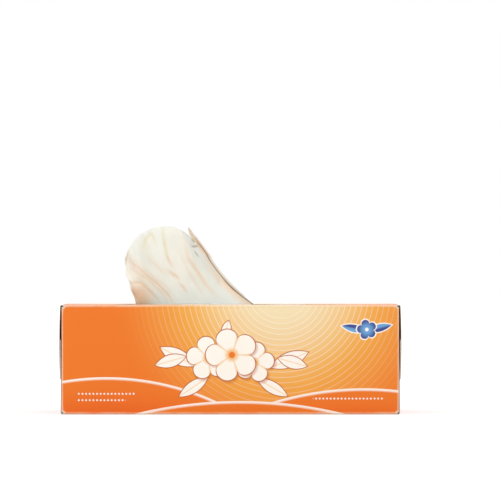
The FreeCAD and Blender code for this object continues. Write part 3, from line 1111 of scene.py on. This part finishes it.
def stack_side(x, side, heights):
    """One side's points at a place along the stack, from the bottom up."""
    stack = settings().stack
    line = []
    for number, z in enumerate(heights):
        groove = stack.groove if number % 3 == 2 else 0.0
        shake = abs(noise_at(x * 20, z * 900, side)) * stack.uneven
        half_width = STACK_HIGH.y - stack.side_inset - groove - shake
        line.append(Vector((x, side * half_width, z)))
    return line


def leaf_top(x, y):
    """Height of the stack's top: soft waves, and the upper leaf's edge along the middle."""
    stack = settings().stack
    middle, half = foot_span()
    waves = noise_at(x * 16, y * 30, 2)
    waves += 0.4 * noise_at(x * 50, y * 24, 5)
    along = fading(abs(x - middle), half, half + stack.pull_end)
    pulled = stack.pull * along * bell(y, stack.pull_width)
    edge = stack.edge + stack.wander * noise_at(x * 25, 0, 9)
    leaf = stack.leaf * smoothly(y, edge - 1.1 * MM, edge + 0.6 * MM)
    inside = fading(abs(y), STACK_HIGH.y - stack.shoulder, STACK_HIGH.y)
    return STACK_HIGH.z - stack.sink + (waves * stack.swell + pulled + leaf) * inside


class TISSUEBOX_OT_stack(bpy.types.Operator):
    """Makes the stack of folded tissues under the film"""

    bl_idname = "tissuebox.stack"
    bl_label = "Stack of tissues"

    def execute(self, context):
        stack = settings().stack
        heights = bundle_heights()
        half_width = STACK_HIGH.y - stack.side_inset - stack.groove
        across = steps(half_width, -half_width, stack.across)
        points = []
        end = STACK_HIGH.x - stack.end_inset
        for x in steps(-end, end, stack.along):
            points += stack_side(x, 1, heights)
            points += [Vector((x, y, leaf_top(x, y))) for y in across]
            points += stack_side(x, -1, heights)[::-1]
        count = len(heights)
        ring = count * 2 + len(across)
        faces = quads(stack.along, ring, True)
        for start, way in ((0, -1), (stack.along * ring, 1)):
            for level in range(count - 1):
                left, right = start + ring - 1 - level, start + level
                faces.append((left, right, right + 1, left - 1)[::way])
            faces.append(tuple(range(start + count - 1, start + ring - count + 1))[::way])
        piece = add_piece(
            "folded_tissues", points, faces, "tissue_stack", [stacked_paper()]
        )
        sharpen(piece.data, degrees=55)
        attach(piece, BODY)
        return {"FINISHED"}


def stacked_paper():
    """Soft white tissue with a fine crepe, seen through the film."""
    shades = settings().stack
    paint = Paint(bpy.data.materials.new("stacked_tissue"))
    place = paint.place()
    crepe = paint.clouds(paint.stretched(place, (0.35, 3.0, 1.0)), 900, 4, 0.6)
    soft = paint.clouds(place, 70, 4)
    sockets = {
        "Base Color": paint.mix(paint.step(soft, 0.3, 0.75), shades.shaded, shades.pale),
        "Roughness": 0.88,
        "Specular IOR Level": 0.2,
        "Sheen Weight": 0.15,
        "Normal": paint.bump(crepe + soft * 0.6, 0.12 * MM, 0.55),
    }
    return paint.finish(paint.surface(sockets))


# The raised tissue

# Shares of the sheet's turn and rise, and angles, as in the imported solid.
CROWN_START, CROWN_END = math.radians(38), math.radians(205)
BEND_TURN, BEND_SHARE = 6 / 52, 0.025
BELLY_SPAN, PINCH = 0.8, 0.55
LONG_FOLDS, LONG_LEAN, LONG_START, SHORT_FOLDS = 2.1, 0.3, math.radians(40), 4
# The rear wall's fold at the right, and the inner wall behind it, in shares of a wall.
EDGE_SHARE, INNER, INNER_REACH = 0.09, 0.62, 0.6
# Where the inner wall stands between the others, the share of it that turns there, and
# how far and how often it swings.
INNER_ACROSS, INNER_TURN, INNER_SWING, INNER_BENDS = 0.05, 0.14, 0.3, 9
# The edge's values from which the loose corner rises, and the one at its middle.
TIP_EDGE, TIP_MIDDLE = (0.2, 0.5), 0.6
# The share of its height that the inner wall lacks, and shares of the rise at which
# the fold's loose corner starts and is broadest, and over which it narrows.
INNER_SHORT, TIP_START, FLARE_AT, FLARE_SPAN = 0.16, 0.87, 0.915, 0.08
# The share of a wall along which the crown's free end sinks, and how far that end
# slides right as it sinks.
DROOP_SHARE, DROOP_SLANT = 0.2, 0.6
# Rows of faces under the film, and how the rows above it crowd towards it.
UNDER_ROWS, ROW_CROWD = 8, 1.25
# Folds of the front wall: their line as x and z over the top panel, height, width
# and the strength of the painted shade along them, in millimetres and shares.
FRONT_FOLDS = (
    (((-66, 27), (-55, 20), (-46, 13), (-40, 6), (-36, 0)), 1.0, 1.7, 0.95),
    (((-64, 22), (-52, 15), (-44, 7), (-40, 1)), 0.6, 1.0, 0.7),
    (((-60, 28), (-50, 19), (-41, 11), (-33, 1)), 0.5, 1.0, 0.45),
    (((-66, 14), (-57, 13), (-50, 6), (-45, 0)), 0.8, 1.3, 0.85),
    (((-40, 22), (-35, 18), (-33, 16)), -0.6, 1.5, 0.85),
    (((-33, 14), (-30, 11), (-28, 8)), -0.6, 1.3, 0.7),
    (((-55, 35), (-54, 41), (-50, 45), (-47, 38)), 0.7, 1.7, 0.9),
    (((-44, 49), (-42, 40), (-40, 30), (-37, 24)), 0.8, 1.7, 0.9),
    (((-30, 42), (-27, 30), (-17, 14), (-9, 5)), -0.7, 2.4, 0.45),
    (((-34, 34), (-24, 16), (-16, 3)), 0.5, 1.6, 0.35),
    (((-58, 40), (-50, 28), (-42, 20)), -0.6, 2.0, 0.3),
    (((-25, 28), (-20, 19), (-12, 8)), 0.4, 1.4, 0.3),
    (((-26, 38.4), (-19.5, 38)), 0.9, 1.1, 0.3),
)
# The rear wall has the front wall's folds, this much further left and higher.
REAR_SHIFT = Vector((4, -5))
# Painted shadows of small pleats: their line and half width, and how dark they are.
PLEAT_SHADOWS = (
    (((-24.6, 37.3), (-20.4, 37)), 0.6),
    (((-22.4, 34.6), (-19.6, 30.6)), 0.32),
)
PLEAT_SHADOW_DARKNESS = 0.7
# The middle of the painted peach light, reflected from the orange box, at the foot's left, in the
# same millimetres.
PEACH_REFLECTION_MIDDLE = (-60, 2)


def crown_point(angle):
    """A point of the crown's round outline, as x and as height over the top panel."""
    sheet = settings().tissue
    x = sheet.crown_radius * math.cos(angle) - sheet.crown_left
    return x, sheet.crown_radius * math.sin(angle) + sheet.crown_rise


def wall_point(part, across, rise, edge):
    """A point of the raised tissue, before its finer folds.

    part goes from 0 at the free edges to 1 at the left, across from -1 on the front
    wall to 1 on the rear one, rise from the film up to the crown. edge is 1 on the
    rear wall's fold at the right, which stands past the front wall's edge.
    """
    sheet = settings().tissue
    base_x = sheet.foot_right - sheet.foot_length * part + sheet.rear_reach * edge
    crown_x, crown_z = crown_point(CROWN_START + (CROWN_END - CROWN_START) * part)
    droop = sheet.droop * fading(part, 0, DROOP_SHARE)
    crown_x += sheet.strip * edge + droop * DROOP_SLANT
    crown_z -= droop
    corner_x, corner_z = crown_point(CROWN_START)
    hollow = sheet.hollow * (1 - part)
    knee_x = (base_x + crown_x) / 2 - hollow * 2 + sheet.strip * edge
    knee_z = crown_z / 2 - hollow / 2
    x = base_x * (1 - rise) ** 2 + knee_x * 2 * rise * (1 - rise) + crown_x * rise**2
    z = knee_z * 2 * rise * (1 - rise) + crown_z * rise**2
    # The loose corner: the fold flares under it, leans left and rises over the crown.
    x += sheet.flare * edge * bell(rise - FLARE_AT, FLARE_SPAN)
    tip = smoothly(edge, *TIP_EDGE) * max(rise - TIP_START, 0) / (1 - TIP_START)
    x += (corner_x - sheet.tip_lean + sheet.tip_width * (edge - TIP_MIDDLE) - x) * tip
    x -= sheet.tip_swell * (1 - edge) * math.sin(math.pi * tip)
    z += (corner_z + sheet.tip_rise - z) * tip
    depth = sheet.gather + sheet.gape * rise
    depth += sheet.belly * math.sin(math.pi * BELLY_SPAN * rise) * part * (2 - part)
    swing = sheet.ripple + sheet.swing * rise
    long_fold = swing * math.sin(
        2 * math.pi * (LONG_FOLDS * part + LONG_LEAN * rise) + LONG_START
    )
    short_fold = sheet.crease * rise * math.sin(2 * math.pi * SHORT_FOLDS * part)
    return Vector((x, depth * across + long_fold + short_fold, z + HEIGHT))


def station(turn):
    """What a place along the sheet is: its part, how far across, and its edge.

    turn goes from -1, the front wall's free edge, through 0 at the round bend on the
    left to 1 at the rear wall's fold, and on to 1 + INNER, the end of the inner wall.
    """
    if turn <= 1:
        bend = min(abs(turn) / BEND_TURN, 1) * math.pi / 2
        wall = max(abs(turn) - BEND_TURN, 0) / (1 - BEND_TURN)
        part = (1 - BEND_SHARE) * (1 - wall) + BEND_SHARE * math.cos(bend)
        across = math.copysign(math.sin(bend) * (1 - PINCH * turn**2), turn)
        edge = max(0.0, 1 - part / EDGE_SHARE) if turn > 0 else 0.0
        return part, across, edge
    # The inner wall leaves the fold, comes near the middle and swings a little there.
    inner = (turn - 1) / INNER
    part = INNER_REACH * inner
    across = (1 - PINCH) - (1 - PINCH - INNER_ACROSS) * smoothly(inner, 0.0, INNER_TURN)
    across += INNER_SWING * math.sin(inner * INNER_BENDS) * smoothly(inner, 0.1, 0.4)
    return part, across, max(0.0, 1 - part / EDGE_SHARE)


def line_place(spot, line):
    """How far a spot is from a bent line, the side it is on, and its share along it."""
    nearest, side, along = math.inf, 1.0, 0.0
    for number, (start, stop) in enumerate(zip(line, line[1:])):
        start, run = Vector(start), Vector(stop) - Vector(start)
        place = min(max((spot - start).dot(run) / run.length_squared, 0), 1)
        off = spot - start - run * place
        if off.length < nearest:
            nearest, along = off.length, (number + place) / (len(line) - 1)
            side = math.copysign(1, run.x * off.y - run.y * off.x)
    return nearest, side, along


def fold_ridges_and_shade(spot):
    """Height of the front wall's sharp folds at a spot of it, and the painted shade along them."""
    height, tint = 0.0, 0.0
    for line, tall, wide, shade in FRONT_FOLDS:
        nearest, side, along = line_place(spot, line)
        fade = math.sqrt(math.sin(math.pi * min(max(along, 0.04), 0.96)))
        reach = wide if side > 0 else wide * 0.35
        height += tall * fade * math.exp(-nearest / reach)
        tint += shade * fade * bell(nearest, 0.62 * wide)
    return height * MM, tint


def fold_height(turn, part, point, rise):
    """Height of the soft small folds at a point, off the sheet."""
    over = point.z - HEIGHT
    soft = smoothly(rise, 0.03, 0.4)
    if turn > 0:
        soft *= smoothly(part, 0.03, 0.3)
    seed = (0.0 if turn < 0 else 30.0) + (20.0 if turn > 1 else 0.0)
    along = Vector((point.x * 22 + over * 10, over * 10 - point.x * 3, seed))
    ridges = 1 - abs(noise.noise(along * 2.4)) * 2
    small = 1 - abs(noise.noise(along * 6.0 + Vector((3, 5, 1)))) * 2
    fine = noise.noise(along * 15 + Vector((8, 1, 6)))
    return (ridges * 1.1 + small * 0.5 + fine * 0.18) * soft * MM


def painted_tissue_shade(turn, part, rise, spot, height, lines):
    """How strong the painted shade is at a place of the sheet, warm and deep, each from 0 to 1."""
    # Painted shade in the creases, where the folds sink, and along the sharp folds.
    warm = 0.22 * smoothly(-height, -0.2 * MM, 1.2 * MM) + lines
    dark = 0.0
    if turn < 0:
        # Painted shade: the front wall's free edge is warm in its lower part.
        warm += 0.95 * fading(part, 0.0, 0.15) * fading(rise, 0.3, 0.9)
    elif turn > 1:
        # Painted shade: the gap behind that edge is dark, and wider at the foot; the rear
        # fold past it is warm, most of all at its loose corner.
        wide = 0.0065 + 0.03 * (1 - rise) ** 6
        middle = 0.026 + 0.008 * (1 - rise)
        dark = bell(part - middle, wide) * fading(rise, 0.9, 0.96)
        corner = smoothly(rise, TIP_START - 0.03, TIP_START)
        warm += (0.6 + 0.4 * corner) * fading(part, 0.03, 0.09)
    if turn < 0 or turn > 1:
        # Painted shadows along the pleats.
        for line, wide in PLEAT_SHADOWS:
            nearest, _, along = line_place(spot, line)
            taper = 0.3 + 0.7 * math.sin(math.pi * along)
            pleat = taper * fading(nearest, wide * 0.3, wide * 1.6)
            dark = max(dark, pleat * PLEAT_SHADOW_DARKNESS)
    return min(warm, 1.0), min(dark, 1.0)


def rise_at(row):
    """From 0 at the film, and under it, to 1 at the crown."""
    return (max(row - UNDER_ROWS, 0) / settings().tissue.rows) ** ROW_CROWD


def sheet_point(row, turn):
    """A point of the sheet before its finer folds, over the film or under it."""
    sheet = settings().tissue
    rise = rise_at(row)
    part, across, edge = station(turn)
    height = rise
    if turn > 1:
        height *= 1 - INNER_SHORT * smoothly(part, 0.02, 0.2)
    point = wall_point(part, across, height, edge)
    # The crown's edge is a little ragged, and the sheet widens under the film.
    ragged = noise_at(turn * 9, 0, 3) * 0.9
    ragged += noise_at(turn * 60, 0, 8) * 0.25
    point.z += ragged * rise**6 * MM
    if row < UNDER_ROWS:
        low = 1 - row / UNDER_ROWS
        spread = sheet.spread * low**2 * (1 + noise_at(turn * 5, 0, 12))
        point.y += spread * math.sin(min(turn, 1) * math.pi / 2)
        point.z = FILM_HIGH.z - (FILM_HIGH.z - RAISED_LOW.z) * low
    return point


def facing(grid, row, column):
    """The direction that the sheet faces at a point of its grid, away from its inside."""
    rows, columns = len(grid) - 1, len(grid[0]) - 1
    up = grid[min(row + 1, rows)][column] - grid[max(row - 1, 0)][column]
    along = grid[row][min(column + 1, columns)] - grid[row][max(column - 1, 0)]
    return along.cross(up).normalized()


def folded_row(grid, row, turns, painted_shades):
    """A row of the sheet with its finer folds; adds each point's painted shade to the list given.
    """
    rise = rise_at(row)
    moved = []
    for column, (turn, point) in enumerate(zip(turns, grid[row])):
        part, _, _ = station(turn)
        spot = Vector((point.x, point.z - HEIGHT)) / MM
        height, tint = 0.0, 0.0
        if row > UNDER_ROWS:
            height = fold_height(turn, part, point, rise)
            if turn <= 1:
                ridge, tint = fold_ridges_and_shade(spot if turn < 0 else spot + REAR_SHIFT)
                height += ridge * smoothly(rise, 0.0, 0.15)
        painted_shades.append(painted_tissue_shade(turn, part, rise, spot, height, tint))
        moved.append(point + facing(grid, row, column) * height)
    return moved


class TISSUEBOX_OT_tissue(bpy.types.Operator):
    """Pulls the first tissue up through the slit of the film"""

    bl_idname = "tissuebox.tissue"
    bl_label = "Raised tissue"

    def execute(self, context):
        sheet = settings().tissue
        turns = steps(-1, 1, sheet.columns) + steps(1, 1 + INNER, sheet.columns // 3)[1:]
        rows = sheet.rows + UNDER_ROWS
        grid = [[sheet_point(row, turn) for turn in turns] for row in range(rows + 1)]
        painted_shades, outer, inner = [], [], []
        middle = [folded_row(grid, row, turns, painted_shades) for row in range(rows + 1)]
        for row, line in enumerate(middle):
            for column, point in enumerate(line):
                half = facing(middle, row, column) * (sheet.thickness / 2)
                outer.append(point + half)
                inner.append(point - half)
        points, shell, rim = close_shell(outer, inner, quads(rows, len(turns), False))
        piece = add_piece(
            "pulled_tissue", points, shell + rim, "raised_tissue", [soft_tissue()]
        )
        # The painted shade goes to the material: warm in the folds and at the edges, and deep in
        # the gap and the pleats.
        for number, name in enumerate(("warm", "dark")):
            layer = piece.data.attributes.new(name, "FLOAT", "POINT")
            layer.data.foreach_set("value", [tint[number] for tint in painted_shades] * 2)
        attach(piece, BODY)
        return {"FINISHED"}


def soft_tissue():
    """Two plies of ivory tissue with a fine crepe, which let some light through, with painted
    shade and painted reflected light on them.
    """
    shades = settings().tissue
    paint = Paint(bpy.data.materials.new("soft_tissue"))
    place = paint.place()
    across, depth, up = paint.split(place)
    crepe = paint.clouds(paint.stretched(place, (0.4, 0.4, 2.6)), 800, 4, 0.62)
    soft = paint.clouds(place, 42, 4, 0.55)
    # Painted shade: folds are beige, and straw at the crown. Painted reflected light: the
    # foot's left glows peach in front, as if lit from the orange box.
    shade = paint.mix(paint.step(soft, 0.3, 0.75), shades.ivory, shades.white)
    crown = paint.step(up, HEIGHT + 26 * MM, HEIGHT + 34 * MM)
    crown = crown * paint.fade(across, -37 * MM, -31 * MM)
    tint = paint.attribute("warm")
    shade = paint.mix(tint, shade, paint.mix(crown, shades.fold_shade_beige, shades.crown_shade_straw))
    glow = (across - PEACH_REFLECTION_MIDDLE[0] * MM) ** 2 + (up - HEIGHT - PEACH_REFLECTION_MIDDLE[1] * MM) ** 2
    glow = paint.fade(paint.maths("SQRT", glow), 3 * MM, 14 * MM)
    glow = glow * paint.fade(depth, 0.0, 4 * MM)
    shade = paint.mix(glow * 0.9, shade, shades.peach_reflection)
    # Painted shade in the gap behind the front wall's edge and along the pleats, where less light
    # also passes through.
    gap = paint.attribute("dark")
    normal = paint.bump(crepe + soft * 0.5, 0.1 * MM, 0.5)
    front = paint.surface(
        {
            "Base Color": paint.mix(gap * 0.9, shade, shades.gap),
            "Roughness": 0.9,
            "Specular IOR Level": 0.15,
            "Normal": normal,
        }
    )
    sockets = {"Color": (*shades.through, 1.0), "Normal": normal}
    through = paint.wire("BsdfTranslucent", None, sockets)
    return paint.finish(paint.blend((1 - gap) * (1 - tint * 0.35) * 0.24, front, through))


# The stage

# The lamps: name, width and place in metres. Their powers are among the settings.
LAMPS = (
    ("key", 1.5, (-1.2, -2.0, 0.9)),
    ("fill", 1.3, (1.4, -1.9, 0.4)),
    ("low", 1.2, (-1.5, -1.3, 0.3)),
    ("rear", 1.2, (0.5, 1.5, 1.7)),
)
# The camera's sensor in millimetres, and how far it sees in metres.
SENSOR, SIGHT = 36.0, 50.0
WHITE = (1.0, 1.0, 1.0)


class TISSUEBOX_OT_stage(bpy.types.Operator):
    """Sets the pale floor, the soft lamps, the sky and the camera"""

    bl_idname = "tissuebox.stage"
    bl_label = "Stage"

    def execute(self, context):
        stage = settings().stage
        scene = context.scene
        sides = ((-1, -1), (1, -1), (1, 1), (-1, 1))
        mesh = bpy.data.meshes.new("floor")
        corners = [(x * stage.floor, y * stage.floor, 0) for x, y in sides]
        mesh.from_pydata(corners, [], [range(len(corners))])
        mesh.materials.append(pale_floor())
        floor = self.add("floor", mesh)
        for name, width, place in LAMPS:
            lamp = bpy.data.lights.new(name + "_lamp", "AREA")
            lamp.energy = getattr(stage, name)
            lamp.size = width
            aim = Vector((0, 0, HEIGHT)) - Vector(place)
            self.add(lamp.name, lamp, place, aim.to_track_quat("-Z", "Y").to_euler())
        scene.world = white_sky(stage.sky)
        scene.view_settings.view_transform = "Standard"
        camera = bpy.data.cameras.new("camera")
        camera.sensor_width = SENSOR
        camera.lens = SENSOR * stage.view_distance / stage.view_width
        camera.clip_end = SIGHT
        seat = (stage.view_across, -HALF_DEPTH - stage.view_distance, stage.view_height)
        scene.camera = self.add("camera", camera, seat, (math.pi / 2, 0, 0))
        return {"FINISHED"}

    def add(self, name, data, place=(0, 0, 0), turn=(0, 0, 0)):
        """An object of the stage, in the scene."""
        item = bpy.data.objects.new(name, data)
        item.location = place
        item.rotation_euler = turn
        bpy.context.scene.collection.objects.link(item)
        return item


def pale_floor():
    """A white floor that keeps the shadow, and meets the white behind it without a line."""
    paint = Paint(bpy.data.materials.new("pale_floor"))
    across, back, _ = paint.split(paint.place())
    far = paint.maths("SQRT", across**2 + back**2)
    lift = paint.seen() * (paint.step(far, 0.22, 0.6) * 0.42 + 0.58)
    sockets = {
        "Base Color": (0.5, 0.5, 0.5, 1.0),
        "Roughness": 0.9,
        "Specular IOR Level": 0.0,
        "Emission Color": paint.mix(lift, (0.0, 0.0, 0.0), WHITE),
        "Emission Strength": 1.0,
    }
    return paint.finish(paint.surface(sockets))


def white_sky(strength):
    """Even light all round, and plain white where the camera sees it."""
    paint = Paint(bpy.data.worlds.new("white_sky"))
    light, white = (
        paint.wire("Background", None, {"Color": (*WHITE, 1.0), "Strength": power})
        for power in (strength, 1.0)
    )
    return paint.finish(paint.blend(paint.seen(), light, white), "OutputWorld")


# The panel


class TISSUEBOX_PT_panel(bpy.types.Panel):
    """Lists the pieces and their sizes"""

    bl_label = "Tissue Box"
    bl_space_type = "VIEW_3D"
    bl_region_type = "UI"
    bl_category = "Tissue Box"

    def draw(self, context):
        for operator, groups in PARTS:
            box = self.layout.box()
            box.operator(operator)
            for group in groups:
                values = getattr(context.scene.tissue_box, group)
                for name in values.__annotations__:
                    box.prop(values, name)


PARTS = (
    ("tissuebox.stage", ("stage",)),
    ("tissuebox.carton", ("carton", "artwork")),
    ("tissuebox.film", ("film",)),
    ("tissuebox.stack", ("stack",)),
    ("tissuebox.tissue", ("tissue",)),
)
CLASSES = (
    CartonSettings,
    PrintSettings,
    FilmSettings,
    StackSettings,
    TissueSettings,
    StageSettings,
    TissueBoxSettings,
    TISSUEBOX_OT_stage,
    TISSUEBOX_OT_carton,
    TISSUEBOX_OT_film,
    TISSUEBOX_OT_stack,
    TISSUEBOX_OT_tissue,
    TISSUEBOX_PT_panel,
)


def register():
    for item in CLASSES:
        bpy.utils.register_class(item)
    bpy.types.Scene.tissue_box = PointerProperty(type=TissueBoxSettings)


def unregister():
    del bpy.types.Scene.tissue_box
    for item in reversed(CLASSES):
        bpy.utils.unregister_class(item)


def main():
    register()
    bpy.ops.tissuebox.stage()
    bpy.ops.tissuebox.carton()
    bpy.ops.tissuebox.film()
    bpy.ops.tissuebox.stack()
    bpy.ops.tissuebox.tissue()
    bpy.context.view_layer.update()


if __name__ == "__main__":
    main()
